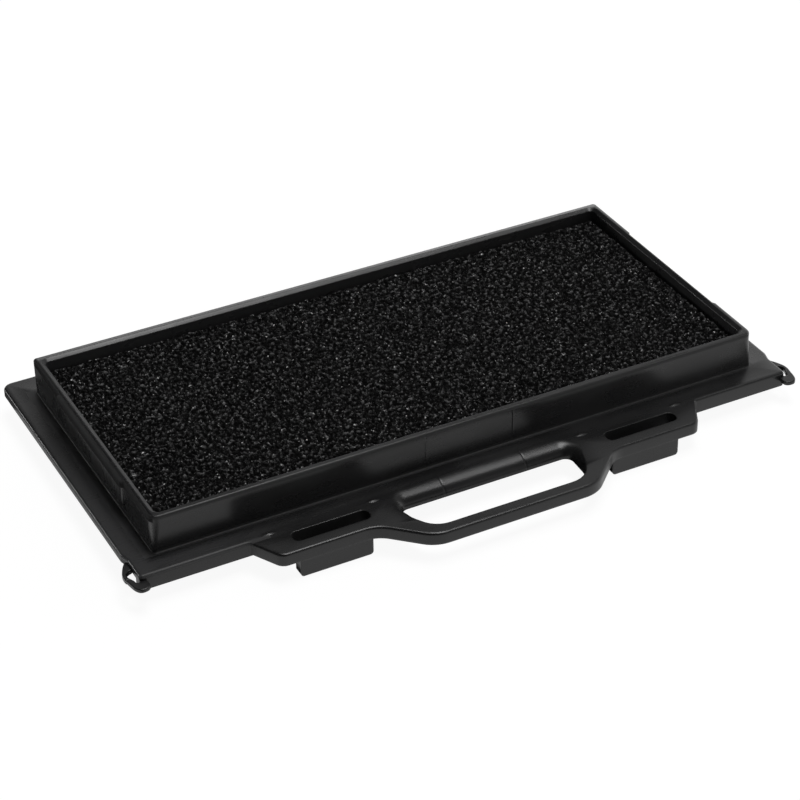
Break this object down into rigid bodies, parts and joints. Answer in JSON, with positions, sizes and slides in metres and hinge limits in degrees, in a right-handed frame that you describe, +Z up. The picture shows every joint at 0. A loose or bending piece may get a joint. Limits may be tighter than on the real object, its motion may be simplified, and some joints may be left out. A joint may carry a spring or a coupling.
{
  "type": "ink pad",
  "caption": "Slide-in ink pad for a self-inking stamp: black moulded tray with flange and finger handle, flexing corner catches and an ink-soaked foam pad over a felt reservoir.",
  "frame": {"origin": "middle of the tray's flat underside", "axes": "+X along the long side to the right, +Y away from the handle, +Z up out of the pad"},
  "size_m": [0.0848, 0.0507, 0.0082],
  "materials": {
    "housing": "satin black moulded plastic",
    "catch": "satin black moulded plastic",
    "ink_foam": "open-cell foam wet with black ink",
    "ink_reservoir": "dense felt soaked with black ink"
  },
  "bodies": {
    "tray": {"housing": "housing", "ink_reservoir": "ink_reservoir"},
    "pad": {"ink_foam": "ink_foam"},
    "left_catch": {"left_spring_catch": "catch"},
    "right_catch": {"right_spring_catch": "catch"}
  },
  "joints": [
    {"name": "pad_press", "type": "slide", "parent": "tray", "child": "pad", "axis": [0, 0, -1], "range_m": [0, 0.0008], "stiffness_N_per_m": 4000, "deforming": ["ink_reservoir"]},
    {"name": "left_catch_flex", "type": "hinge", "parent": "tray", "child": "left_catch", "pos_m": [-0.04161, -0.0179, 0.0028], "axis": [0, 0, 1], "range_deg": [0, 5], "stiffness_Nm_per_rad": 0.05},
    {"name": "right_catch_flex", "type": "hinge", "parent": "tray", "child": "right_catch", "pos_m": [0.04161, -0.0179, 0.0028], "axis": [0, 0, -1], "range_deg": [0, 5], "stiffness_Nm_per_rad": 0.05}
  ]
}
